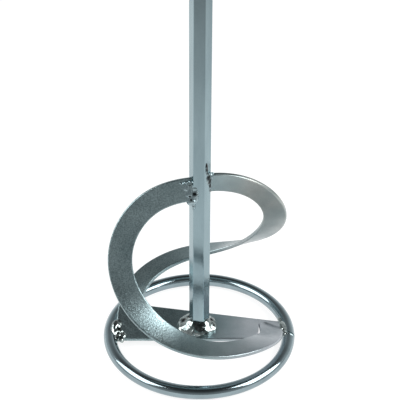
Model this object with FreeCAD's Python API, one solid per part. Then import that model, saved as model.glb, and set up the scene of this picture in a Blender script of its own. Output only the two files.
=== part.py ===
"""Mortar mixing paddle: a hexagonal shaft on a twisted blade plate, inside a rod ring.

The part stands on its ring. The origin is on the shaft's axis, level with the
bottom of the ring. +Z runs up the shaft, and the blade plate's bar lies along X.
All sizes are in millimetres.
"""
import FreeCAD
import Part
import math
import os

from FreeCAD import Vector

# Ring of round rod, bent round and closed with a butt weld.
RING_OUTER = 120.0
ROD = 8.0
SEAM_AT = -5.0
SEAM_WIDTH = 2.4

# Hexagonal shaft, cut off square, with a chamfered chuck end.
SHAFT_FLATS = 11.0
SHAFT_TURN = -6.5
SHAFT_TOP = 600.0
SHAFT_CHAMFER = 1.5
SHAFT_PROUD = 0.6

# Blade plate: a twisted cross bar that runs out into two rising blades.
PLATE = 2.5
BAR_WIDTH = 27.0
BAR_TURN = -5.2
BAR_TOP = 10.0
BAR_TWIST = 0.006
BAR_RECESS = 0.05
BLADE_WIDTH = 14.2
BLADE_ROOT_OUTER = 52.0
SLIT = 0.4
SLIT_END = 3.0
ROOT_OVERLAP = 2.0
ROOT_ANGLES = (16.0, 8.0, 0.0)

# The middle of the front blade after its root: degrees round the shaft from +X,
# distance from the axis, height.
BLADE_PATH = (
    (-33.0, 48.0, 19.8),
    (-76.5, 49.6, 29.5),
    (-123.5, 50.4, 44.0),
    (-155.0, 50.7, 79.0),
    (-162.5, 30.0, 106.2),
    (-147.0, 7.5, 112.5),
)
# The blade's face turns from level to this lean between two shares of its length.
BLADE_LEAN = 74.0
LEAN_FROM = 0.3
LEAN_TO = 0.95
ROOT_BLEND = 0.2
BLADE_SECTIONS = 28
BLADE_OVERRUN = 4.0
# The way that the flat faces where the front blade is welded to the shaft.
BLADE_FLAT = SHAFT_TURN - 150.0
# Points that shape each face of the bar, counted as steps along and across it.
BAR_STEPS_ALONG = 8
BAR_STEPS_ACROSS = 4

# Welds.
FOOT_WELD_RADIUS = 12.6
FOOT_WELD_HEIGHT = 5.0
FOOT_WELD_SINK = 1.3
FOOT_WELD_DRAFT = 1.3
FOOT_WELD_LAND = 1.0
UPPER_WELD_RADIUS = 4.4
UPPER_WELD_LENGTH = 17.0
RING_WELD_RADIUS = 4.5
RING_WELD_LENGTH = 19.0
RING_WELD_AT = (51.6, 0.5, 6.0)
SEAM_WELD_RADIUS = 4.3

RING_RADIUS = (RING_OUTER - ROD) / 2
BLADE_ROOT_INNER = BLADE_ROOT_OUTER - BLADE_WIDTH
UP = Vector(0, 0, 1)
ORIGIN = Vector(0, 0, 0)


def polar(angle, radius, height):
    """Return the point at this angle in degrees round the shaft."""
    turn = math.radians(angle)
    return Vector(radius * math.cos(turn), radius * math.sin(turn), height)


def smooth_step(value, start, end):
    """Rise smoothly from 0 at start to 1 at end."""
    share = min(max((value - start) / (end - start), 0.0), 1.0)
    return share * share * (3 - 2 * share)


def half_turn(shape):
    """Return a copy of the shape, turned 180 degrees about the shaft's axis."""
    copy = shape.copy()
    copy.rotate(ORIGIN, UP, 180)
    return copy


def bar_to_world(along, across, height):
    """Turn a place on the bar, along and across it, into a point."""
    turn = math.radians(BAR_TURN)
    return Vector(
        along * math.cos(turn) - across * math.sin(turn),
        along * math.sin(turn) + across * math.cos(turn),
        height,
    )


def bar_middle_height(point):
    """Height of the middle of the twisted plate at a point seen from above."""
    turn = math.radians(BAR_TURN)
    along = point.x * math.cos(turn) + point.y * math.sin(turn)
    across = -point.x * math.sin(turn) + point.y * math.cos(turn)
    return BAR_TOP - PLATE / 2 - BAR_TWIST * along * across


def hexagon(flats, bottom, top):
    """Return a hexagonal bar on the shaft's axis."""
    corner_radius = flats / math.sqrt(3)
    corners = [polar(SHAFT_TURN + 60 * side, corner_radius, bottom) for side in range(6)]
    face = Part.Face(Part.makePolygon(corners + corners[:1]))
    return face.extrude(Vector(0, 0, top - bottom))


def make_shaft():
    """The shaft goes through the bar and stands a little proud below it."""
    bottom = BAR_TOP - PLATE - SHAFT_PROUD
    bar = hexagon(SHAFT_FLATS, bottom, SHAFT_TOP)
    corner_radius = SHAFT_FLATS / math.sqrt(3)
    shoulder = SHAFT_TOP - SHAFT_CHAMFER
    envelope = Part.makeCylinder(corner_radius, shoulder - bottom, Vector(0, 0, bottom))
    tip_radius = SHAFT_FLATS / 2 - SHAFT_CHAMFER / 2
    tip = Part.makeCone(corner_radius, tip_radius, SHAFT_CHAMFER, Vector(0, 0, shoulder))
    return bar.common(envelope.fuse(tip)).removeSplitter()


def rod_arc(rod_radius, start, sweep):
    """Return part of the ring: a round rod bent about the shaft's axis."""
    centre = Vector(RING_RADIUS, 0, ROD / 2)
    section = Part.Face(Part.Wire(Part.makeCircle(rod_radius, centre, Vector(0, 1, 0))))
    arc = section.revolve(ORIGIN, UP, sweep)
    arc.rotate(ORIGIN, UP, start)
    return arc


def seam_sweep():
    """Angle that the seam weld takes up round the ring."""
    return math.degrees(SEAM_WIDTH / RING_RADIUS)


def make_ring():
    """The ring is open by the width of its seam."""
    return rod_arc(ROD / 2, SEAM_AT + seam_sweep() / 2, 360 - seam_sweep())


def make_seam_weld():
    """The seam weld stands proud of the rod, but is dressed flush outside and below."""
    weld = rod_arc(SEAM_WELD_RADIUS, SEAM_AT - seam_sweep() / 2, seam_sweep())
    return weld.common(Part.makeCylinder(RING_OUTER / 2, ROD * 2))


def solid_from_faces(faces):
    """Sew faces that share their edges into one solid."""
    shell = Part.makeShell(faces)
    shell.sewShape()
    solid = Part.Solid(Part.Shell(shell.Faces))
    if solid.Volume < 0:
        solid.reverse()
    return solid


def root_section(angle):
    """Middle and outward direction of the blade where it is still part of the bar."""
    inner = polar(angle, BLADE_ROOT_INNER, 0)
    outer = polar(angle, BLADE_ROOT_OUTER, 0)
    inner.z = bar_middle_height(inner)
    outer.z = bar_middle_height(outer)
    return (inner + outer) * 0.5, (outer - inner).normalize()


def blade_spine():
    """Smooth curve along the middle of the front blade, from its root to the shaft."""
    points = [root_section(angle)[0] for angle in ROOT_ANGLES]
    points += [polar(*station) for station in BLADE_PATH]
    last_run = (points[-1] - points[-2]).normalize()
    points.append(points[-1] + last_run * BLADE_OVERRUN)
    points[-1].z = points[-2].z
    curve = Part.BSplineCurve()
    curve.interpolate(points)
    return curve


def blade_sections():
    """Four corners of each section along the front blade."""
    curve = blade_spine()
    length = curve.length()
    sections = []
    for step in range(BLADE_SECTIONS + 1):
        share = step / BLADE_SECTIONS
        at = curve.parameterAtDistance(length * share, curve.FirstParameter)
        middle = curve.value(at)
        along = Vector(*curve.tangent(at)[0])
        lean = math.radians(BLADE_LEAN) * smooth_step(share, LEAN_FROM, LEAN_TO)
        face_up = Vector(0, -math.sin(lean), math.cos(lean))
        outward = face_up.cross(along).normalize()
        angle = math.degrees(math.atan2(middle.y, middle.x))
        blend = smooth_step(share, 0.0, ROOT_BLEND)
        outward = root_section(angle)[1] * (1 - blend) + outward * blend
        outward = (outward - along * outward.dot(along)).normalize()
        normal = along.cross(outward).normalize()
        half_width = outward * (BLADE_WIDTH / 2)
        half_plate = normal * (PLATE / 2)
        sections.append((
            middle + half_width + half_plate,
            middle - half_width + half_plate,
            middle - half_width - half_plate,
            middle + half_width - half_plate,
        ))
    return sections


def beyond_blade_flat():
    """Block behind the flat that the front blade ends on, as thick as the shaft."""
    side = 4 * BLADE_WIDTH
    corner = Vector(-SHAFT_FLATS / 2, -side / 2, BLADE_PATH[-1][2] - side / 2)
    block = Part.makeBox(SHAFT_FLATS, side, side, corner)
    block.rotate(ORIGIN, UP, BLADE_FLAT)
    return block


def behind_bar():
    """Block along the rear edge of the bar's right half, where the front blade begins."""
    block = Part.makeBox(RING_OUTER, BAR_WIDTH, 2 * BAR_TOP, Vector(0, BAR_WIDTH / 2, 0))
    block.rotate(ORIGIN, UP, BAR_TURN)
    return block


def make_blade():
    """The front blade, from its root in the bar's end to the shaft, where it ends on a flat."""
    outlines = [Part.makePolygon(list(corners) + [corners[0]]) for corners in blade_sections()]
    blade = Part.makeLoft(outlines, True, False)
    return blade.cut([beyond_blade_flat(), behind_bar()])


def even_places(reach, steps):
    """Evenly spaced places from -reach to reach."""
    return [reach * (2 * step / steps - 1) for step in range(steps + 1)]


def bar_surface(offset):
    """Face of the twisted bar's blank, offset along its own normal."""
    rows = []
    for along in even_places(BLADE_ROOT_OUTER, BAR_STEPS_ALONG):
        row = []
        for across in even_places(BAR_WIDTH, BAR_STEPS_ACROSS):
            height = BAR_TOP - PLATE / 2 - BAR_TWIST * along * across
            normal = Vector(BAR_TWIST * across, BAR_TWIST * along, 1).normalize()
            place = Vector(along, across, height) + normal * offset
            row.append(bar_to_world(place.x, place.y, place.z))
        rows.append(row)
    surface = Part.BSplineSurface()
    surface.interpolate(rows)
    return surface.toShape()


def make_bar_blank():
    """The twisted bar before its outline is cut: longer and wider than it ends up."""
    half = PLATE / 2 - BAR_RECESS
    top = bar_surface(half)
    bottom = bar_surface(-half)
    walls = []
    for upper in top.Edges:
        middle = upper.CenterOfMass
        lower = min(bottom.Edges, key=lambda edge: edge.CenterOfMass.distanceToPoint(middle))
        walls.append(Part.makeRuledSurface(upper, lower))
    return solid_from_faces([top, bottom] + walls)


def bar_strip():
    """Upright slab as wide as the bar, turned like it."""
    corner = Vector(-RING_OUTER, -BAR_WIDTH / 2, -BAR_TOP)
    slab = Part.makeBox(2 * RING_OUTER, BAR_WIDTH, 4 * BAR_TOP, corner)
    slab.rotate(ORIGIN, UP, BAR_TURN)
    return slab


def root_wedge():
    """Upright wedge over the part of the bar's end that runs on into the blade.

    It starts at the slit's end and passes well behind the bar's rear edge.
    """
    far = 2 * BLADE_ROOT_OUTER
    slit_end = math.degrees(math.asin(SLIT_END / BLADE_ROOT_INNER))
    corners = [ORIGIN, polar(slit_end, far, 0), polar(2 * ROOT_ANGLES[0], far, 0), ORIGIN]
    return Part.Face(Part.makePolygon(corners)).extrude(Vector(0, 0, SHAFT_TOP))


def make_blade_plate():
    """Bar and both blades in one piece, with a hexagonal hole for the shaft."""
    slit_disc = Part.makeCylinder(BLADE_ROOT_INNER - SLIT, SHAFT_TOP)
    root_disc = Part.makeCylinder(BLADE_ROOT_INNER + ROOT_OVERLAP, SHAFT_TOP)
    wedge = root_wedge()
    outline = slit_disc.fuse([root_disc.common(wedge), root_disc.common(half_turn(wedge))])
    bar = make_bar_blank().common(bar_strip()).common(outline)
    blade = make_blade()
    plate = bar.fuse([blade, half_turn(blade)]).removeSplitter()
    return plate.cut(hexagon(SHAFT_FLATS, 0, SHAFT_TOP))


def lump(radius, length, place):
    """Return a weld lump: an egg shape of this radius and length, standing at a place."""
    half = length / 2
    across = Vector(radius, 0, 0)
    ellipse = Part.Ellipse(Vector(0, 0, half), across, ORIGIN)
    side = Part.Arc(ellipse, 0, math.pi)
    outline = [side.toShape(), Part.makeLine(side.EndPoint, side.StartPoint)]
    egg = Part.Face(Part.Wire(outline)).revolve(ORIGIN, UP, 360)
    egg.translate(place)
    return egg


def largest_solid(shape):
    """Keep the main solid of a cut weld and drop any crumbs."""
    return max(shape.Solids, key=lambda solid: solid.Volume)


def make_foot_weld(shaft, plate):
    """Domed bead all round the shaft on top of the bar."""
    bottom = BAR_TOP - FOOT_WELD_SINK
    top = BAR_TOP + FOOT_WELD_HEIGHT
    inner = SHAFT_FLATS / 2 - FOOT_WELD_LAND
    shoulder = SHAFT_FLATS / math.sqrt(3) + FOOT_WELD_LAND
    low_inside = Vector(inner, 0, bottom)
    low_outside = Vector(FOOT_WELD_RADIUS, 0, bottom)
    on_bar = Vector(FOOT_WELD_RADIUS, 0, BAR_TOP)
    half_way = Vector(FOOT_WELD_RADIUS - FOOT_WELD_DRAFT, 0, (BAR_TOP + top) / 2)
    high_outside = Vector(shoulder, 0, top)
    high_inside = Vector(inner, 0, top)
    outline = [
        Part.makeLine(low_inside, low_outside),
        Part.makeLine(low_outside, on_bar),
        Part.Arc(on_bar, half_way, high_outside).toShape(),
        Part.makeLine(high_outside, high_inside),
        Part.makeLine(high_inside, low_inside),
    ]
    bead = Part.Face(Part.Wire(outline)).revolve(ORIGIN, UP, 360)
    return largest_solid(bead.cut([shaft, plate]))


def make_upper_weld(shaft, plate):
    """Lump that joins the front blade's end to the shaft."""
    egg = lump(UPPER_WELD_RADIUS, UPPER_WELD_LENGTH, polar(*BLADE_PATH[-1]))
    return largest_solid(egg.cut([shaft, plate]))


def make_ring_weld(ring, seam, plate):
    """Lump that joins the plate's end to the inside of the ring."""
    egg = lump(RING_WELD_RADIUS, RING_WELD_LENGTH, ORIGIN)
    egg.rotate(ORIGIN, Vector(1, 0, 0), 90)
    egg.translate(Vector(*RING_WELD_AT))
    return largest_solid(egg.cut([ring, seam, plate]))


def main():
    os.makedirs("parts", exist_ok=True)
    shaft = make_shaft()
    ring = make_ring()
    seam = make_seam_weld()
    plate = make_blade_plate().cut([ring, seam])
    front_weld = make_upper_weld(shaft, plate)
    nodes = {
        "hex_shaft": shaft,
        "blade_plate": plate,
        "ring": ring,
        "ring_seam_weld": seam,
        "foot_weld": make_foot_weld(shaft, plate),
        "front_blade_weld": front_weld,
        "rear_blade_weld": half_turn(front_weld),
        "right_ring_weld": make_ring_weld(ring, seam, plate),
        "left_ring_weld": half_turn(make_ring_weld(ring, seam, half_turn(plate))),
    }
    for name, shape in nodes.items():
        box = shape.BoundBox
        print(
            f"{name}: solids {len(shape.Solids)}, volume {shape.Volume:.1f}, valid {shape.isValid()},",
            f"x {box.XMin:.2f}..{box.XMax:.2f} y {box.YMin:.2f}..{box.YMax:.2f}",
            f"z {box.ZMin:.2f}..{box.ZMax:.2f}",
        )
        shape.exportStep(f"parts/{name}.step")


main()
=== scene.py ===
import math

import bmesh
import bpy
import numpy as np
from mathutils import Matrix, Vector, noise


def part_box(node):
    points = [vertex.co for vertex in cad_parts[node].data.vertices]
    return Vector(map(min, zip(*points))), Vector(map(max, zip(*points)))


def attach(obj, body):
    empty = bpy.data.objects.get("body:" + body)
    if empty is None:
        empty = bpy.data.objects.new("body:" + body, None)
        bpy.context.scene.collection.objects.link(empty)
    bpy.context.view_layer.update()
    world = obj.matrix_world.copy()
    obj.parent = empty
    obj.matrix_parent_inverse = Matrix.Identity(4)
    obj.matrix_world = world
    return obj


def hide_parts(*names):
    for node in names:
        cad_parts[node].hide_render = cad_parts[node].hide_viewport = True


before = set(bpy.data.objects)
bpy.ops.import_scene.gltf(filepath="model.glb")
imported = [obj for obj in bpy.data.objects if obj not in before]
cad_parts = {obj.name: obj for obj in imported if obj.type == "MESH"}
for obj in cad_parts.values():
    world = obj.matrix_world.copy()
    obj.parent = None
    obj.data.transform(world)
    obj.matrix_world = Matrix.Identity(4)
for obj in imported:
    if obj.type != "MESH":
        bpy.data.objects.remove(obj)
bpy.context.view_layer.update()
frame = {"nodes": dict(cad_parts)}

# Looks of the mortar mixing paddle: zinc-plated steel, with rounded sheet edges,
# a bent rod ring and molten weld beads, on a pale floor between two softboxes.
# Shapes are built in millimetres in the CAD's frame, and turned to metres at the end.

MM = 0.001

# Driving dimensions of the CAD, in millimetres and degrees.
RING_OUTER = 120.0
ROD = 8.0
RING_RADIUS = (RING_OUTER - ROD) / 2
SHAFT_FLATS = 11.0
SHAFT_TURN = -6.5
SHAFT_CHAMFER = 1.5
PLATE = 2.5
BAR_WIDTH = 27.0
BAR_TURN = -5.2
BAR_TOP = 10.0
BAR_TWIST = 0.006
BAR_RECESS = 0.05
BLADE_WIDTH = 14.2
BLADE_ROOT_OUTER = 52.0
BLADE_ROOT_INNER = BLADE_ROOT_OUTER - BLADE_WIDTH
SLIT = 0.4
SLIT_END = 3.0
ROOT_OVERLAP = 2.0
ROOT_ANGLES = (16.0, 8.0, 0.0)
BLADE_PATH = (
    (-33.0, 48.0, 19.8),
    (-76.5, 49.6, 29.5),
    (-123.5, 50.4, 44.0),
    (-155.0, 50.7, 79.0),
    (-162.5, 30.0, 106.2),
    (-147.0, 7.5, 112.5),
)
BLADE_OVERRUN = 4.0
BLADE_LEAN = 74.0
LEAN_FROM = 0.3
LEAN_TO = 0.95
ROOT_BLEND = 0.2

# Finish of the edges, in millimetres.
PLATE_EDGE = 0.7
SHAFT_EDGE = 0.55
EDGE_STEPS = 5
FACE_INSET = 0.25

# Play round the shaft in the plate's hole, and the heights that its cut runs between.
HOLE_PLAY = 0.04
HOLE_CUT = (-5, 140)

# The bend across each blade's root, in millimetres: from and to seen from above, on the
# front blade, then its reach to each side and its depth on each blade.
CREASE_FROM = (42.0, 4.6)
CREASE_TO = (51.0, -2.6)
CREASE_REACH = 1.1
FRONT_CREASE = 0.8
REAR_CREASE = 0.12

# The camera, in metres and degrees.
CAMERA_TARGET = (0.000115, 0.0, 0.10277)
CAMERA_DISTANCE = 0.6694
CAMERA_PITCH = 32.387
CAMERA_ROLL = 0.289
CAMERA_LENS = 103.11

# The floor's painted glow, in metres: where it is palest, and between which distances from
# there it falls to its deeper tone.
FLOOR_PALEST = (-0.15, 0.4, 0.0)
FLOOR_FADE = (0.50, 1.0)
FLOOR_DEEP_TONE = 0.1
FLOOR_GLOW = 0.85
FLOOR_BASE = (0.25, 0.25, 0.25, 1)

# The studio's greys from the horizon, and anywhere below it, to straight up, then their tint,
# and how strong its light is on the viewer's side and beyond the paddle.
WORLD_TONES = ((0.0, 0.78), (0.2, 0.66), (0.42, 0.5), (0.56, 0.31), (0.72, 0.16), (0.82, 0.1), (1.0, 0.06))
WORLD_TINT = (0.97, 1, 1.01)
WORLD_STRENGTH = (0.55, 1.2)

# Where both softboxes point, and how far from there they stand, in metres.
SOFTBOX_AIM = (0, 0, 0.06)
SOFTBOX_DISTANCE = 1.1


# ---------------------------------------------------------------- small helpers

def polar(angle, radius, height):
    """Point at this angle in degrees about the shaft's axis."""
    turn = math.radians(angle)
    return np.array((radius * math.cos(turn), radius * math.sin(turn), height))


def smooth_step(value, start, end):
    share = min(max((value - start) / (end - start), 0.0), 1.0)
    return share * share * (3 - 2 * share)


def unit(vector):
    return vector / np.linalg.norm(vector)


def half_turn(points):
    """The same points, turned 180 degrees about the shaft's axis."""
    return np.asarray(points) * (-1, -1, 1)


def bar_coordinates(x, y):
    """Where a point seen from above lies along and across the bar."""
    turn = math.radians(BAR_TURN)
    along = x * math.cos(turn) + y * math.sin(turn)
    across = y * math.cos(turn) - x * math.sin(turn)
    return along, across


def bar_to_world(along, across):
    turn = math.radians(BAR_TURN)
    x = along * math.cos(turn) - across * math.sin(turn)
    y = along * math.sin(turn) + across * math.cos(turn)
    return x, y


def bar_middle_height(x, y):
    along, across = bar_coordinates(x, y)
    return BAR_TOP - PLATE / 2 - BAR_TWIST * along * across


def put_in_scene(name, data):
    """A new object with this mesh, camera or light."""
    thing = bpy.data.objects.new(name, data)
    bpy.context.scene.collection.objects.link(thing)
    return thing


def new_piece(name, points, faces, smooth_angle=40.0):
    """A mesh object from points, shaded smooth up to an angle."""
    mesh = bpy.data.meshes.new(name)
    mesh.from_pydata(np.asarray(points).tolist(), [], faces)
    work = bmesh.new()
    work.from_mesh(mesh)
    bmesh.ops.recalc_face_normals(work, faces=work.faces)
    work.to_mesh(mesh)
    work.free()
    piece = put_in_scene(name, mesh)
    shade_smooth(piece, smooth_angle)
    return piece


def shade_smooth(piece, angle):
    mesh = piece.data
    mesh.polygons.foreach_set("use_smooth", [True] * len(mesh.polygons))
    mesh.set_sharp_from_angle(angle=math.radians(angle))


def zipped_cap(first, count, start):
    """Faces that close a thin ring of points, from its extreme point to the opposite one."""
    faces = []
    for step in range(count // 2):
        one_side = [(start + step) % count, (start + step + 1) % count]
        other_side = [(start - step - 1) % count, (start - step) % count]
        corners = list(dict.fromkeys(one_side + other_side))
        faces.append(tuple(first + corner for corner in corners))
    return faces


def loft(rings, thin_from=None):
    """Points and faces of a closed solid through rings of equally many points.

    Thin rings are closed across, from the point thin_from; others by one flat face.
    """
    count = len(rings[0])
    points = np.concatenate(rings)
    faces = []
    for ring in range(len(rings) - 1):
        for place in range(count):
            after = (place + 1) % count
            low, high = ring * count, (ring + 1) * count
            faces.append((low + place, low + after, high + after, high + place))
    last = (len(rings) - 1) * count
    if thin_from is None:
        faces.append(tuple(range(count))[::-1])
        faces.append(tuple(range(last, last + count)))
    else:
        faces += [face[::-1] for face in zipped_cap(0, count, thin_from)]
        faces += zipped_cap(last, count, thin_from)
    return points, faces


def apply_modifiers(piece):
    """Replace the piece's mesh with what its modifiers make of it."""
    view = bpy.context.evaluated_depsgraph_get()
    mesh = bpy.data.meshes.new_from_object(piece.evaluated_get(view))
    piece.modifiers.clear()
    piece.data = mesh
    return piece


def combine(piece, tool, operation):
    """Join the tool to the piece, or cut it away, and remove the tool."""
    cut = piece.modifiers.new("cut", "BOOLEAN")
    cut.operation = operation
    cut.solver = "EXACT"
    cut.object = tool
    apply_modifiers(piece)
    bpy.data.objects.remove(tool)
    return piece


# ---------------------------------------------------------------- sections

def face_stops(low, high, inset, count):
    """Places across a flat face: one just inside each edge, and even ones between."""
    inner = np.linspace(low + inset, high - inset, count)
    return [low] + list(inner) + [high]


def plate_section(width, thickness, radius, across_count):
    """Outline of a sheet's section with rounded edges, and the place of one edge's middle.

    The outline is pairs of across and up.
    """
    half_width, half_plate = width / 2, thickness / 2
    flat_across = face_stops(radius - half_width, half_width - radius, FACE_INSET, across_count)
    quarter = [math.pi / 2 * step / EDGE_STEPS for step in range(1, EDGE_STEPS + 1)]
    edge = [(radius * math.sin(turn), half_plate - radius + radius * math.cos(turn)) for turn in quarter]
    edge += [(radius, 0.0)]
    edge += [(out, -up) for out, up in edge[-2::-1]]
    outline = []
    for side in (1, -1):
        for place in flat_across:
            outline.append((-side * place, side * half_plate))
        for out, up in edge:
            outline.append((-side * (half_width - radius + out), side * up))
    edge_middle = len(flat_across) + EDGE_STEPS
    return outline, edge_middle


# ---------------------------------------------------------------- blade plate

class Spline:
    """Natural cubic spline through points, by the length of the chords."""

    def __init__(self, points):
        self.points = np.array(points)
        chords = np.linalg.norm(np.diff(self.points, axis=0), axis=1)
        self.knots = np.concatenate(([0.0], np.cumsum(chords)))
        self.slopes = self.solve_slopes(chords)

    def solve_slopes(self, chords):
        count = len(self.points)
        matrix = np.zeros((count, count))
        target = np.zeros((count, 3))
        rise = np.diff(self.points, axis=0) / chords[:, None]
        matrix[0, :2] = 2, 1
        target[0] = 3 * rise[0]
        matrix[-1, -2:] = 1, 2
        target[-1] = 3 * rise[-1]
        for i in range(1, count - 1):
            before, after = chords[i - 1], chords[i]
            matrix[i, i - 1:i + 2] = after, 2 * (before + after), before
            target[i] = 3 * (after * rise[i - 1] + before * rise[i])
        return np.linalg.solve(matrix, target)

    def at(self, knot):
        """Point of the curve at this length of chord."""
        i = int(np.clip(np.searchsorted(self.knots, knot) - 1, 0, len(self.knots) - 2))
        span = self.knots[i + 1] - self.knots[i]
        t = (knot - self.knots[i]) / span
        start = (2 * t**3 - 3 * t**2 + 1) * self.points[i]
        end = (3 * t**2 - 2 * t**3) * self.points[i + 1]
        leave = (t**3 - 2 * t**2 + t) * span * self.slopes[i]
        arrive = (t**3 - t**2) * span * self.slopes[i + 1]
        return start + end + leave + arrive


def root_section(angle):
    """Middle and outward direction of the blade where it is still part of the bar."""
    inner = polar(angle, BLADE_ROOT_INNER, 0)
    outer = polar(angle, BLADE_ROOT_OUTER, 0)
    inner[2] = bar_middle_height(inner[0], inner[1])
    outer[2] = bar_middle_height(outer[0], outer[1])
    return (inner + outer) / 2, unit(outer - inner)


def blade_spine():
    """Curve of the front blade's middle, from inside the bar until it runs into the shaft."""
    points = [root_section(angle)[0] for angle in ROOT_ANGLES]
    points += [polar(*station) for station in BLADE_PATH]
    last = points[-1] + unit(points[-1] - points[-2]) * BLADE_OVERRUN
    last[2] = points[-1][2]
    return Spline(points + [last])


class BladeFrames:
    """Middle, outward and upward directions along the front blade, by share of its length."""

    STEPS = 600
    NEAR_ROOT = 0.12    # the bar's rear edge crosses the blade before this share

    def __init__(self):
        spine = blade_spine()
        fine = np.linspace(0, spine.knots[-1], 4 * self.STEPS + 1)
        line = np.array([spine.at(knot) for knot in fine])
        run = np.linalg.norm(np.diff(line, axis=0), axis=1)
        travelled = np.concatenate(([0.0], np.cumsum(run)))
        self.shares = np.linspace(0, 1, self.STEPS + 1)
        at_share = self.shares * travelled[-1]
        self.middles = np.stack([np.interp(at_share, travelled, line[:, i]) for i in range(3)], 1)
        along = np.gradient(self.middles, axis=0)
        frames = [self.frame(*row) for row in zip(self.shares, self.middles, along)]
        self.outwards = np.array([frame[0] for frame in frames])
        self.normals = np.array([frame[1] for frame in frames])

    @staticmethod
    def frame(share, middle, along):
        along = unit(along)
        lean = math.radians(BLADE_LEAN) * smooth_step(share, LEAN_FROM, LEAN_TO)
        face_up = np.array((0, -math.sin(lean), math.cos(lean)))
        outward = unit(np.cross(face_up, along))
        angle = math.degrees(math.atan2(middle[1], middle[0]))
        blend = smooth_step(share, 0.0, ROOT_BLEND)
        outward = root_section(angle)[1] * (1 - blend) + outward * blend
        outward = unit(outward - along * outward.dot(along))
        return outward, unit(np.cross(along, outward))

    def point(self, share, across, up):
        """Point at this share of the length, across the blade and above its middle."""
        def pick(table):
            return np.array([np.interp(share, self.shares, table[:, i]) for i in range(3)])
        return pick(self.middles) + pick(self.outwards) * across + pick(self.normals) * up

    def share_at_bar_edge(self, across, edge):
        """Share at which a line along the blade crosses a line along the bar."""
        early = self.shares < self.NEAR_ROOT
        places = self.middles[early] + self.outwards[early] * across
        offset = bar_coordinates(places[:, 0], places[:, 1])[1]
        return float(np.interp(edge, offset[::-1], self.shares[early][::-1]))


def root_crease(point, up):
    """How deep the bend at the blade's root is at this place on its upper face, from 0 to 1."""
    start, end = np.array(CREASE_FROM), np.array(CREASE_TO)
    run = end - start
    share = np.clip((point[:2] - start).dot(run) / run.dot(run), 0.0, 1.0)
    gap = np.linalg.norm(point[:2] - start - run * share)
    near_root = up > 0 and point[2] < 2 * BAR_TOP
    return math.exp(-((gap / CREASE_REACH) ** 2)) if near_root else 0.0


def make_blade(frames, crease):
    """Rings of the front blade: its start is rounded over on the bar's rear edge.

    The bend at its root is as deep as crease.
    """
    outline, edge_middle = plate_section(BLADE_WIDTH, PLATE, PLATE_EDGE, 17)
    rings = []
    rear = BAR_WIDTH / 2
    for step in range(EDGE_STEPS + 1):
        turn = math.pi / 2 * step / EDGE_STEPS
        edge = rear - PLATE_EDGE * (1 - math.cos(turn))
        inset = PLATE_EDGE * (1 - math.sin(turn))
        ring = []
        for across, up in outline:
            share = frames.share_at_bar_edge(across, edge)
            shrunk = math.copysign(min(abs(up), PLATE / 2 - inset), up)
            ring.append(frames.point(share, across, shrunk))
        rings.append(np.array(ring))
    starts = [frames.share_at_bar_edge(across, rear - PLATE_EDGE) for across, up in outline]
    root_share = 0.14
    root_stations, other_stations = 90, 190
    shares = [root_share * step / root_stations for step in range(1, root_stations)]
    shares += list(np.linspace(root_share, 1, other_stations))
    for share in shares:
        ring = []
        for (across, up), start in zip(outline, starts):
            point = frames.point(start + (1 - start) * share, across, up)
            point[2] -= crease * root_crease(point, up)
            ring.append(point)
        rings.append(np.array(ring))
    return rings, edge_middle


def bar_point(along, across, offset):
    """Point of the twisted bar, offset from its middle along its own normal."""
    normal = unit(np.array((BAR_TWIST * across, BAR_TWIST * along, 1)))
    x, y = bar_to_world(along, across)
    height = BAR_TOP - PLATE / 2 - BAR_TWIST * along * across
    turned = bar_to_world(normal[0], normal[1])
    return np.array((x, y, height)) + np.array((turned[0], turned[1], normal[2])) * offset


def bar_end(across):
    """How far the bar runs at this place across it, before the slit or in the blade's root."""
    slit_end = math.asin(SLIT_END / BLADE_ROOT_INNER) - math.radians(BAR_TURN)
    behind_slit = across > BLADE_ROOT_INNER * math.sin(slit_end)
    radius = BLADE_ROOT_INNER + (ROOT_OVERLAP if behind_slit else -SLIT)
    return math.sqrt(radius**2 - across**2)


def make_bar():
    """Rings of the cross bar, from its left end to its right one."""
    outline, edge_middle = plate_section(BAR_WIDTH, PLATE - 2 * BAR_RECESS, PLATE_EDGE, 25)
    rings = []
    steps = 60
    for step in range(steps + 1):
        share = step / steps
        ring = []
        for across, up in outline:
            right, left = bar_end(across), -bar_end(-across)
            ring.append(bar_point(left + (right - left) * share, across, up))
        rings.append(np.array(ring))
    return rings, edge_middle


def hexagon_corners(flats):
    radius = flats / math.sqrt(3)
    return [polar(SHAFT_TURN + 60 * side, radius, 0) for side in range(6)]


def make_hexagon_tool(flats, bottom, top):
    corners = hexagon_corners(flats)
    rings = [np.array(corners) + (0, 0, height) for height in (bottom, top)]
    return new_piece("hexagon_tool", *loft(rings))


def make_blade_plate():
    """The bar and its two blades as one piece, with the shaft's hole cut through it."""
    plate = new_piece("blade_sheet", *loft(*make_bar()))
    frames = BladeFrames()
    rings, edge_middle = make_blade(frames, FRONT_CREASE)
    combine(plate, new_piece("front_blade_tool", *loft(rings, edge_middle)), "UNION")
    rings, edge_middle = make_blade(frames, REAR_CREASE)
    turned = [half_turn(ring) for ring in rings]
    combine(plate, new_piece("rear_blade_tool", *loft(turned, edge_middle)), "UNION")
    combine(plate, make_hexagon_tool(SHAFT_FLATS + HOLE_PLAY, *HOLE_CUT), "DIFFERENCE")
    shade_smooth(plate, 32.0)
    return plate


# ---------------------------------------------------------------- shaft

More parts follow.
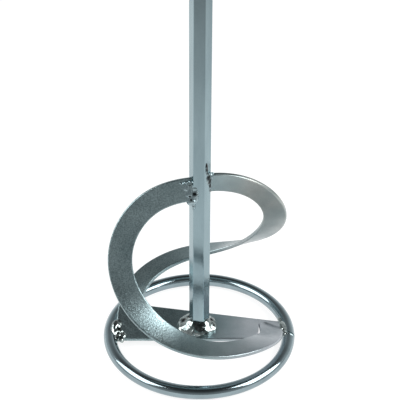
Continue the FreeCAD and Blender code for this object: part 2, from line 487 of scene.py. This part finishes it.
def shaft_outline():
    """Hexagon with rounded corners, as points round the axis."""
    corners = hexagon_corners(SHAFT_FLATS)
    face_shares = (0.13, 0.5, 0.87)
    outline = []
    for side, corner in enumerate(corners):
        middle_angle = SHAFT_TURN + 60 * side
        centre = corner * (1 - SHAFT_EDGE * 2 / math.sqrt(3) / np.linalg.norm(corner))
        for step in range(EDGE_STEPS + 1):
            turn = middle_angle - 30 + 60 * step / EDGE_STEPS
            outline.append(centre + polar(turn, SHAFT_EDGE, 0))
        ahead = corners[(side + 1) % 6]
        for share in face_shares:
            outline.append(corner + (ahead - corner) * share)
    return np.array(outline)


def make_shaft():
    """The hexagonal bar, with a turned chamfer at its chuck end."""
    low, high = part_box("hex_shaft")
    bottom, top = low.z / MM, high.z / MM
    outline = shaft_outline()
    reach = np.linalg.norm(outline[:, :2], axis=1)
    near_end, spacing = 0.3, 10.0
    heights = [bottom, bottom + near_end] + list(np.arange(2 * spacing, top - spacing, spacing))
    heights += [top - SHAFT_CHAMFER - near_end]
    rings = [outline + (0, 0, height) for height in heights]
    tip = SHAFT_FLATS / 2 - SHAFT_CHAMFER / 2
    wide = SHAFT_FLATS / math.sqrt(3)
    chamfer_steps = 8
    for step in range(chamfer_steps + 1):
        share = step / chamfer_steps
        allowed = wide + (tip - wide) * share
        shrink = np.minimum(1.0, allowed / reach)[:, None]
        ring = outline * np.concatenate((shrink, shrink, shrink), 1)
        rings.append(ring + (0, 0, top - SHAFT_CHAMFER * (1 - share)))
    return new_piece("hex_bar", *loft(rings), smooth_angle=33.0)


# ---------------------------------------------------------------- welds

def add_ball(work, centre, radii, turn=0.0, tip=0.0):
    """One lump of weld metal: a ball squeezed to three radii, tipped about X, turned about Z."""
    made = bmesh.ops.create_icosphere(work, subdivisions=4, radius=1.0)
    place = Matrix.Translation(Vector(centre))
    place = place @ Matrix.Rotation(math.radians(turn), 4, "Z")
    place = place @ Matrix.Rotation(math.radians(tip), 4, "X")
    for vert in made["verts"]:
        vert.co = place @ Vector(vert.co[i] * radii[i] for i in range(3))


def ripple(point, seed, size):
    """Smooth noise from about -1 to 1, in millimetres of wavelength."""
    place = Vector((point[0] / size + seed, point[1] / size - seed, point[2] / size + 2 * seed))
    return noise.noise(place)


def melt(name, balls, voxel, settle, core=None):
    """One closed skin round the core and all the lumps, with its creases softened."""
    work = bmesh.new()
    if core:
        verts = [work.verts.new(point) for point in core[0]]
        for face in core[1]:
            work.faces.new([verts[corner] for corner in face])
    for ball in balls:
        add_ball(work, *ball)
    mesh = bpy.data.meshes.new(name)
    work.to_mesh(mesh)
    work.free()
    piece = put_in_scene(name, mesh)
    skin = piece.modifiers.new("skin", "REMESH")
    skin.mode = "VOXEL"
    skin.voxel_size = voxel
    smooth = piece.modifiers.new("settle", "SMOOTH")
    smooth.iterations = settle
    smooth.factor = 0.5
    return apply_modifiers(piece)


def swell(piece, seed, depth, size):
    """Move the skin in and out by smooth noise of this depth and size."""
    mesh = piece.data
    normals = [vert.normal.copy() for vert in mesh.vertices]
    for vert, normal in zip(mesh.vertices, normals):
        vert.co = vert.co + normal * depth * ripple(vert.co, seed, size)
    mesh.update()


def facet(piece, count):
    """Turn the skin into about this many broad facets with rounded creases."""
    coarse = piece.modifiers.new("coarse", "DECIMATE")
    coarse.ratio = count / (2 * len(piece.data.polygons))
    rounded = piece.modifiers.new("rounded", "SUBSURF")
    rounded.levels = 3
    apply_modifiers(piece)


def dent(piece, pits):
    """Press blow-holes into the skin, and keep how much painted shade each pit puts on each point."""
    mesh = piece.data
    pit_shade = mesh.attributes.new("pit_shade", "FLOAT", "POINT")
    normals = [vert.normal.copy() for vert in mesh.vertices]
    for vert, normal in zip(mesh.vertices, normals):
        point = vert.co.copy()
        # how deep in a pit a point lies sets its painted shade
        darkness = 0.0
        for centre, reach, depth in pits:
            share = math.exp(-(((point - Vector(centre)).length / reach) ** 2))
            vert.co = vert.co - normal * depth * share
            darkness = max(darkness, share)
        pit_shade.data[vert.index].value = darkness
    mesh.update()


def make_bead(name, balls, seed, pits=(), voxel=0.3, settle=8, swells=((0.4, 3.5),),
              facets=0, crinkle=(0.06, 1.2), core=None):
    """A weld bead: a core and lumps melted together, swollen, faceted, crinkled and pitted.

    Each swell and the crinkle is a depth and a size.
    """
    piece = melt(name, balls, voxel, settle, core)
    for depth, size in swells:
        swell(piece, seed, depth, size)
    if facets:
        facet(piece, facets)
    swell(piece, seed + 7, *crinkle)
    dent(piece, pits)
    shade_smooth(piece, 180.0)
    return piece


# The cone round the shaft's foot, in millimetres: its reach from the axis and its height,
# what they gain on its left, right, front and sides, and how far it stands off the shaft's
# corners. Each level is a share of its height and how much it bulges there.
FOOT_REACH = 9.0
FOOT_LEFT_REACH = 6.0
FOOT_RIGHT_REACH = 2.8
FOOT_FRONT_REACH = 2.8
FOOT_HEIGHT = 5.4
FOOT_FRONT_HEIGHT = 1.6
FOOT_SIDE_HEIGHT = 0.7
FOOT_SHOULDER = 0.3
FOOT_LEVELS = ((-0.2, 0.0), (0.0, 0.0), (0.35, 0.1), (0.7, 0.08), (1.0, 0.0))


def foot_core():
    """Cone that fills the corner between the bar and the shaft, widest on the left."""
    rings = []
    for share_up, bulge in FOOT_LEVELS:
        ring = []
        for angle in range(0, 360, 6):
            turn = math.radians(angle)
            left, right = max(0.0, -math.cos(turn)), max(0.0, math.cos(turn))
            front = max(0.0, -math.sin(turn))
            reach = FOOT_REACH + FOOT_LEFT_REACH * left**2 + FOOT_RIGHT_REACH * right**2
            reach += FOOT_FRONT_REACH * front**2
            tall = FOOT_HEIGHT + FOOT_FRONT_HEIGHT * front + FOOT_SIDE_HEIGHT * (left + right)
            shoulder = SHAFT_FLATS / math.sqrt(3) + FOOT_SHOULDER
            radius = reach + (shoulder - reach) * max(share_up - bulge, 0.0)
            along, across = bar_coordinates(*polar(angle, radius, 0)[:2])
            floor = BAR_TOP - BAR_TWIST * along * across
            ring.append(polar(angle, radius, floor + tall * share_up))
        rings.append(np.array(ring))
    return loft(rings)


# The lumps and pits of each weld, in millimetres and degrees. A lump is its centre, its three
# radii, its turn and, where it leans, its tip. A pit is its centre, reach and depth.

FOOT_BALLS = (
    ((-10.8, -0.6, 10.6), (3.4, 3.8, 2.3), 10),
    ((-11.0, -3.8, 10.0), (3.4, 3.4, 2.1), 30),
    ((-6.6, 3.4, 11.6), (2.6, 2.6, 2.8), 30),
    ((8.4, -0.6, 11.0), (2.6, 3.4, 2.7), -10),
    ((8.4, -4.8, 10.4), (2.8, 2.8, 2.5), -35),
    ((2.0, 7.8, 10.4), (4.2, 2.4, 2.6), 0),
    ((-3.0, -10.0, 10.6), (3.4, 1.3, 1.4), -24),
    ((3.6, -10.2, 10.4), (2.6, 1.2, 1.3), 16),
)
FOOT_PITS = (
    ((-9.6, -0.4, 14.0), 2.3, 0.8),
    ((-6.6, 0.6, 16.0), 1.6, 0.4),
    ((-2.0, -8.2, 13.2), 1.7, 0.2),
    ((1.6, -8.6, 12.8), 2.0, 0.2),
    ((3.6, -9.8, 11.4), 1.3, 0.2),
    ((7.8, -0.8, 15.0), 1.5, 0.5),
)


def make_foot_bead():
    return make_bead("foot_bead", FOOT_BALLS, seed=3.1, pits=FOOT_PITS, settle=6,
                     swells=((1.0, 5.4), (0.4, 2.8)), facets=200, crinkle=(0.17, 1.9),
                     core=foot_core())


UPPER_BALLS = (
    ((-6.6, -4.5, 113.6), (3.7, 1.0, 3.6), 12, -16),
    ((-5.4, -5.6, 109.8), (3.6, 1.1, 4.6), 4, -16),
    ((-5.2, -6.6, 106.6), (3.0, 1.1, 3.0), 4, -16),
    ((-3.0, -5.2, 109.6), (2.5, 1.1, 6.4), -6, -8),
    ((-3.5, -5.2, 102.6), (1.2, 1.1, 3.4), -6, -8),
)
UPPER_PITS = (
    ((-5.8, -4.9, 116.0), 1.0, 0.3),
    ((-3.0, -6.2, 110.6), 1.6, 0.4),
    ((-5.7, -6.6, 109.4), 0.8, 0.4),
    ((-7.6, -6.5, 108.4), 0.8, 0.4),
    ((-7.9, -7.2, 106.2), 1.0, 0.4),
    ((-5.0, -7.2, 107.4), 0.8, 0.4),
)
UPPER_BEADS = (
    ((-10.3, -4.5, 117.0), (1.5, 1.0, 0.75), 12),
    ((-8.0, -4.5, 117.4), (1.2, 1.0, 0.7), 12),
    ((-5.2, -4.6, 118.0), (1.5, 1.1, 0.75), -6),
)
FAR_UPPER_BALLS = (
    ((4.8, -2.3, 118.4), (0.9, 2.5, 4.2), -36),
    ((5.6, -1.2, 113.6), (0.8, 1.2, 6.0), -36),
    ((6.0, 0.4, 118.6), (1.7, 2.2, 2.6), -30),
    ((3.9, -3.9, 126.0), (0.6, 1.2, 4.6), -36, 5),
)
FAR_UPPER_PITS = (
    ((4.2, -3.9, 128.6), 2.2, 0.05),
    ((4.4, -3.8, 126.0), 2.2, 0.05),
    ((4.6, -3.6, 123.8), 1.6, 0.05),
    ((5.4, -3.0, 119.6), 2.3, 0.1),
    ((5.8, -2.2, 116.8), 2.2, 0.1),
    ((6.2, -1.6, 113.8), 1.7, 0.1),
    ((6.4, -1.2, 110.6), 1.4, 0.1),
)
FAR_UPPER_BEADS = (
    ((5.0, -3.2, 122.3), (0.7, 0.7, 0.7), 0),
    ((5.9, -1.9, 122.1), (0.9, 0.8, 0.8), 0),
    ((7.0, 0.8, 120.4), (1.3, 0.9, 0.9), 20),
)


def make_upper_beads():
    """Each blade's end is smeared over with dull metal, and beaded along its top edge."""
    front = make_bead("front_blade_bead", UPPER_BALLS + UPPER_BEADS, seed=5.3, pits=UPPER_PITS,
                      voxel=0.2, settle=4, swells=((0.24, 2.4),), crinkle=(0.12, 0.9))
    rear_balls = [(half_turn(place), radii, turn + 180, tip) for place, radii, turn, tip in UPPER_BALLS]
    rear_balls += FAR_UPPER_BALLS + FAR_UPPER_BEADS
    rear = make_bead("rear_blade_bead", rear_balls, seed=8.9, pits=FAR_UPPER_PITS,
                     voxel=0.2, settle=3, swells=((0.2, 2.2),), crinkle=(0.10, 0.9))
    return front, rear


LEFT_RING_BALLS = (
    ((-52.6, -2.2, 6.8), (3.4, 7.2, 2.6), 0, 36),
    ((-50.0, 2.0, 8.0), (2.2, 4.8, 2.2), 14, 30),
    ((-49.2, -4.2, 6.8), (3.0, 3.2, 2.5), -10),
    ((-47.6, -6.4, 6.2), (3.0, 3.2, 2.5), -20),
    ((-51.2, -8.0, 5.2), (2.6, 3.2, 2.3), 0),
    ((-48.2, -9.6, 4.8), (1.8, 1.8, 1.8), 0),
)
LEFT_RING_PITS = (
    ((-50.3, -2.6, 9.4), 1.4, 1.2),
    ((-47.2, -6.2, 9.0), 1.1, 0.8),
    ((-50.2, -6.4, 8.4), 0.9, 0.7),
)
RIGHT_RING_BALLS = (
    ((53.0, 0.8, 8.0), (5.8, 2.9, 0.95), 93, 27),
    ((51.4, 8.2, 6.4), (1.3, 4.6, 1.5), 12),
    ((53.8, -5.2, 6.8), (1.8, 3.0, 1.6), -9),
)
RIGHT_RING_PITS = (
    ((52.2, -3.4, 9.2), 0.8, 0.7),
    ((54.2, -6.6, 8.2), 0.9, 0.9),
)


def make_ring_beads():
    left = make_bead("left_ring_bead", LEFT_RING_BALLS, seed=2.2, pits=LEFT_RING_PITS,
                     settle=4, swells=((0.4, 4.0),), facets=130, crinkle=(0.12, 1.3))
    right = make_bead("right_ring_bead", RIGHT_RING_BALLS, seed=6.4, pits=RIGHT_RING_PITS,
                      voxel=0.22, settle=6, swells=((0.2, 3.0),), crinkle=(0.05, 1.8))
    return left, right


# The seam's bead, in millimetres: how far its balls' centres are from the middle of the rod,
# and their radius.
SEAM_PATH = 2.78
SEAM_BALL = 1.3


def make_seam_bead():
    """Thin bead across the ring's joint, kept just above the floor underneath."""
    low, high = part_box("ring_seam_weld")
    angle = math.degrees(math.atan2((low.y + high.y) / 2, (low.x + high.x) / 2))
    balls = []
    count = 24
    for step in range(count):
        turn = 2 * math.pi * step / count
        radius = RING_RADIUS + SEAM_PATH * math.cos(turn)
        height = max(ROD / 2 + SEAM_PATH * math.sin(turn), SEAM_BALL)
        balls.append((polar(angle, radius, height), (SEAM_BALL,) * 3, angle))
    return make_bead("ring_seam_bead", balls, seed=4.4, voxel=0.25, swells=((0.05, 2.0),),
                     crinkle=(0.02, 0.9))


# ---------------------------------------------------------------- materials

def add_ramp(tree, value, stops):
    """Colours along a value: pairs of position and colour."""
    ramp = tree.nodes.new("ShaderNodeValToRGB")
    elements = ramp.color_ramp.elements
    while len(elements) < len(stops):
        elements.new(0.5)
    for element, (position, colour) in zip(elements, stops):
        element.position = position
        element.color = (*colour, 1)
    tree.links.new(value, ramp.inputs["Fac"])
    return ramp.outputs["Color"]


def add_span(tree, value, low, high, start, end):
    """Map a value from start..end to low..high."""
    node = tree.nodes.new("ShaderNodeMapRange")
    for socket, number in zip(("From Min", "From Max", "To Min", "To Max"), (start, end, low, high)):
        node.inputs[socket].default_value = number
    tree.links.new(value, node.inputs["Value"])
    return node.outputs["Result"]


class Shader:
    """A node material with a Principled surface, built step by step."""

    def __init__(self, name):
        self.material = bpy.data.materials.new(name)
        self.material.use_nodes = True
        self.nodes = self.material.node_tree.nodes
        self.links = self.material.node_tree.links
        self.surface = self.nodes["Principled BSDF"]
        self.place = self.nodes.new("ShaderNodeTexCoord").outputs["Object"]

    def stretched(self, scale):
        """Coordinates in metres, scaled per axis."""
        mapping = self.nodes.new("ShaderNodeMapping")
        mapping.inputs["Scale"].default_value = scale
        self.links.new(self.place, mapping.inputs["Vector"])
        return mapping.outputs["Vector"]

    def noise(self, size, detail=3.0, scale=(1, 1, 1), roughness=0.5):
        """Noise with features about this many millimetres across."""
        texture = self.nodes.new("ShaderNodeTexNoise")
        texture.inputs["Scale"].default_value = 1 / (size * MM)
        texture.inputs["Detail"].default_value = detail
        texture.inputs["Roughness"].default_value = roughness
        self.links.new(self.stretched(scale), texture.inputs["Vector"])
        return texture.outputs["Fac"]

    def ramp(self, value, stops):
        return add_ramp(self.material.node_tree, value, stops)

    def span(self, value, low, high, start=0.3, end=0.7):
        return add_span(self.material.node_tree, value, low, high, start, end)

    def mix(self, factor, first, second):
        node = self.nodes.new("ShaderNodeMix")
        node.data_type = "RGBA"
        self.links.new(factor, node.inputs["Factor"])
        self.links.new(first, node.inputs["A"])
        self.links.new(second, node.inputs["B"])
        return node.outputs["Result"]

    def axis(self, name):
        """Place along X, Y or Z in metres."""
        split = self.nodes.new("ShaderNodeSeparateXYZ")
        self.links.new(self.place, split.inputs["Vector"])
        return split.outputs[name]

    def product(self, first, second):
        node = self.nodes.new("ShaderNodeMath")
        node.operation = "MULTIPLY"
        self.links.new(first, node.inputs[0])
        self.links.new(second, node.inputs[1])
        return node.outputs["Value"]

    def scaled(self, colour, factor):
        """The colour times a number that varies over the surface."""
        node = self.nodes.new("ShaderNodeVectorMath")
        node.operation = "SCALE"
        self.links.new(colour, node.inputs["Vector"])
        self.links.new(factor, node.inputs["Scale"])
        return node.outputs["Vector"]

    def tinted(self, colour, tint, gain):
        """The colour times a tint, then times a gain."""
        node = self.nodes.new("ShaderNodeVectorMath")
        node.operation = "MULTIPLY"
        self.links.new(colour, node.inputs[0])
        self.links.new(tint, node.inputs[1])
        lift = self.nodes.new("ShaderNodeVectorMath")
        lift.operation = "SCALE"
        lift.inputs["Scale"].default_value = gain
        self.links.new(node.outputs["Vector"], lift.inputs["Vector"])
        return lift.outputs["Vector"]

    def bump(self, height, depth, before=None):
        """Bump of this depth in millimetres."""
        node = self.nodes.new("ShaderNodeBump")
        node.inputs["Distance"].default_value = depth * MM
        self.links.new(height, node.inputs["Height"])
        if before is not None:
            self.links.new(before, node.inputs["Normal"])
        return node.outputs["Normal"]

    def set(self, socket, value):
        target = self.surface.inputs[socket]
        if hasattr(value, "links"):
            self.links.new(value, target)
        else:
            target.default_value = value


def zinc(name, dark, light, patch_size, rough, grain, patch_scale=(1, 1, 1)):
    """Zinc plate: a cloudy two-tone colour, uneven gloss and layers of fine bumps.

    Patches are patch_size millimetres across. Each layer of the grain is a size and a depth
    in millimetres.
    """
    shader = Shader(name)
    cloud = shader.noise(patch_size, detail=4, scale=patch_scale)
    shader.colour = shader.ramp(cloud, ((0.32, dark), (0.68, light)))
    shader.set("Metallic", 1.0)
    shader.set("Roughness", shader.span(shader.noise(patch_size / 2.5), *rough))
    normal = None
    for size, depth in grain:
        normal = shader.bump(shader.noise(size, detail=2), depth, before=normal)
    shader.normal = normal
    shader.set("Normal", normal)
    shader.set("Base Color", shader.colour)
    return shader


def sheet_zinc():
    """The sheet's plate: frosted with specks on its left, and on its right tinted as tarnish and
    brightened as a painted reflection.
    """
    shader = zinc("sheet_zinc", dark=(0.22, 0.295, 0.31), light=(0.295, 0.38, 0.395), patch_size=18,
                  rough=(0.31, 0.37), grain=((0.75, 0.04), (0.4, 0.02)))
    place = shader.axis("X")
    specks = shader.span(shader.noise(0.8, detail=2), low=0.74, high=1.26, start=0.35, end=0.65)
    frosted = shader.scaled(shader.colour, specks)
    leftness = shader.span(place, low=1.0, high=0.15, start=-25 * MM, end=10 * MM)
    base = shader.mix(leftness, shader.colour, frosted)
    frost = shader.product(shader.noise(0.85, detail=2), leftness)
    shader.set("Normal", shader.bump(frost, depth=0.15, before=shader.normal))
    rightness = shader.span(place, low=0.0, high=1.0, start=2 * MM, end=30 * MM)
    patches = shader.span(shader.noise(26), low=0.6, high=1.0, start=0.4, end=0.6)
    height = shader.span(shader.axis("Z"), low=0.0, high=1.0, start=20 * MM, end=90 * MM)
    tarnish = shader.ramp(height, ((0.0, (0.93, 0.77, 0.79)), (1.0, (1.0, 0.79, 0.72))))
    # tarnish tint, times a gain that lightens the right side as painted reflection of the pale floor
    tarnish_and_painted_sheen = shader.tinted(base, tarnish, gain=1.76)
    shader.set("Base Color", shader.mix(shader.product(rightness, patches), base, tarnish_and_painted_sheen))
    return shader.material


def weld_zinc(name, dark, light, rough):
    """Weld metal under zinc: patchy and bright, with painted shade darkening its pits."""
    shader = zinc(name, dark, light, patch_size=3, rough=rough, grain=((0.9, 0.02), (0.3, 0.005)))
    pit_shade = shader.nodes.new("ShaderNodeAttribute")
    pit_shade.attribute_name = "pit_shade"
    # painted shade: deep in a pit the colour falls to a twentieth, where shadow would fall
    pit_shade_factor = shader.span(pit_shade.outputs["Fac"], low=1.0, high=0.05, start=0.25, end=0.75)
    shader.set("Base Color", shader.scaled(shader.colour, pit_shade_factor))
    return shader.material


def make_materials():
    shaft = zinc("drawn_zinc", dark=(0.245, 0.33, 0.36), light=(0.31, 0.41, 0.44), patch_size=9,
                 rough=(0.15, 0.21), grain=((1.6, 0.012), (0.5, 0.004)), patch_scale=(1, 1, 0.2))
    plate = sheet_zinc()
    ring = zinc("rod_zinc", dark=(0.25, 0.315, 0.34), light=(0.32, 0.40, 0.43), patch_size=12,
                rough=(0.08, 0.13), grain=((2.2, 0.010), (0.6, 0.002)))
    weld = weld_zinc("molten_zinc", dark=(0.12, 0.15, 0.15), light=(0.52, 0.58, 0.57), rough=(0.07, 0.14))
    matte_weld = weld_zinc("dull_weld_zinc", dark=(0.28, 0.365, 0.39), light=(0.38, 0.475, 0.50),
                           rough=(0.2, 0.3))
    return {"shaft": shaft.material, "plate": plate, "ring": ring.material, "weld": weld,
            "matte_weld": matte_weld}


# ---------------------------------------------------------------- stage

def make_camera():
    pitch = math.radians(CAMERA_PITCH)
    forward = Vector((0, math.cos(pitch), -math.sin(pitch)))
    camera = put_in_scene("camera", bpy.data.cameras.new("camera"))
    camera.location = Vector(CAMERA_TARGET) - forward * CAMERA_DISTANCE
    camera.rotation_euler = forward.to_track_quat("-Z", "Y").to_euler()
    camera.rotation_euler.rotate_axis("Z", math.radians(CAMERA_ROLL))
    camera.data.lens = CAMERA_LENS
    camera.data.sensor_width = 36.0
    camera.data.clip_end = 50.0
    bpy.context.scene.camera = camera


def make_floor():
    """Pale panel with a painted glow, as a light table has, dimmer the further from its palest place."""
    shader = Shader("pale_floor")
    shader.set("Roughness", 0.9)
    shader.set("Specular IOR Level", 0.1)
    away = shader.nodes.new("ShaderNodeVectorMath")
    away.operation = "DISTANCE"
    away.inputs[1].default_value = FLOOR_PALEST
    shader.links.new(shader.place, away.inputs[0])
    # painted glow: a pool of light that fades with distance from FLOOR_PALEST
    tone = shader.span(away.outputs["Value"], 1.0, FLOOR_DEEP_TONE, *FLOOR_FADE)
    shader.set("Base Color", FLOOR_BASE)
    shader.set("Emission Color", tone)
    shader.set("Emission Strength", FLOOR_GLOW)
    size = 6.0
    below = -0.00002
    corners = [(-size, -size, below), (size, -size, below), (size, size, below), (-size, size, below)]
    floor = new_piece("floor", corners, [(0, 1, 2, 3)])
    floor.data.materials.append(shader.material)


def add_softbox(name, azimuth, elevation, size, power):
    """A rectangular light aimed at the paddle. Azimuth 0 is beyond it, 90 is on its right."""
    light = bpy.data.lights.new(name, "AREA")
    light.shape = "RECTANGLE"
    light.size, light.size_y = size
    light.energy = power
    lamp = put_in_scene(name, light)
    turn, rise = math.radians(azimuth), math.radians(elevation)
    away = Vector((math.sin(turn) * math.cos(rise), math.cos(turn) * math.cos(rise), math.sin(rise)))
    lamp.location = Vector(SOFTBOX_AIM) + away * SOFTBOX_DISTANCE
    lamp.rotation_mode = "QUATERNION"
    lamp.rotation_quaternion = (-away).to_track_quat("-Z", "Y")


def make_world():
    """A plain studio: pale near the horizon, and dim overhead."""
    world = bpy.data.worlds.new("studio")
    bpy.context.scene.world = world
    world.use_nodes = True
    nodes, links = world.node_tree.nodes, world.node_tree.links
    place = nodes.new("ShaderNodeTexCoord")
    split = nodes.new("ShaderNodeSeparateXYZ")
    links.new(place.outputs["Generated"], split.inputs["Vector"])
    stops = [(position, [grey * part for part in WORLD_TINT]) for position, grey in WORLD_TONES]
    tone = add_ramp(world.node_tree, split.outputs["Z"], stops)
    strength = add_span(world.node_tree, split.outputs["Y"], *WORLD_STRENGTH, -1, 1)
    links.new(tone, nodes["Background"].inputs["Color"])
    links.new(strength, nodes["Background"].inputs["Strength"])


def make_stage():
    make_camera()
    make_floor()
    make_world()
    add_softbox("left_softbox", azimuth=-100, elevation=36, size=(0.95, 0.75), power=8.6)
    add_softbox("right_softbox", azimuth=102, elevation=38, size=(0.90, 0.75), power=11.5)
    bpy.context.scene.view_settings.view_transform = "Standard"


# ---------------------------------------------------------------- the paddle

def finish_piece(piece, node, material):
    """Turn a piece to metres, give it its material, and stand it in for its CAD node."""
    piece.data.transform(Matrix.Scale(MM, 4))
    piece.data.materials.clear()
    piece.data.materials.append(material)
    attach(piece, "root")
    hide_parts(node)


def make_paddle():
    materials = make_materials()
    finish_piece(make_shaft(), "hex_shaft", materials["shaft"])
    finish_piece(make_blade_plate(), "blade_plate", materials["plate"])
    ring = frame["nodes"]["ring"]
    ring.data.materials.clear()
    ring.data.materials.append(materials["ring"])
    finish_piece(make_foot_bead(), "foot_weld", materials["weld"])
    front, rear = make_upper_beads()
    finish_piece(front, "front_blade_weld", materials["matte_weld"])
    finish_piece(rear, "rear_blade_weld", materials["matte_weld"])
    left, right = make_ring_beads()
    finish_piece(left, "left_ring_weld", materials["weld"])
    finish_piece(right, "right_ring_weld", materials["weld"])
    finish_piece(make_seam_bead(), "ring_seam_weld", materials["matte_weld"])


make_stage()
make_paddle()

bpy.context.view_layer.update()
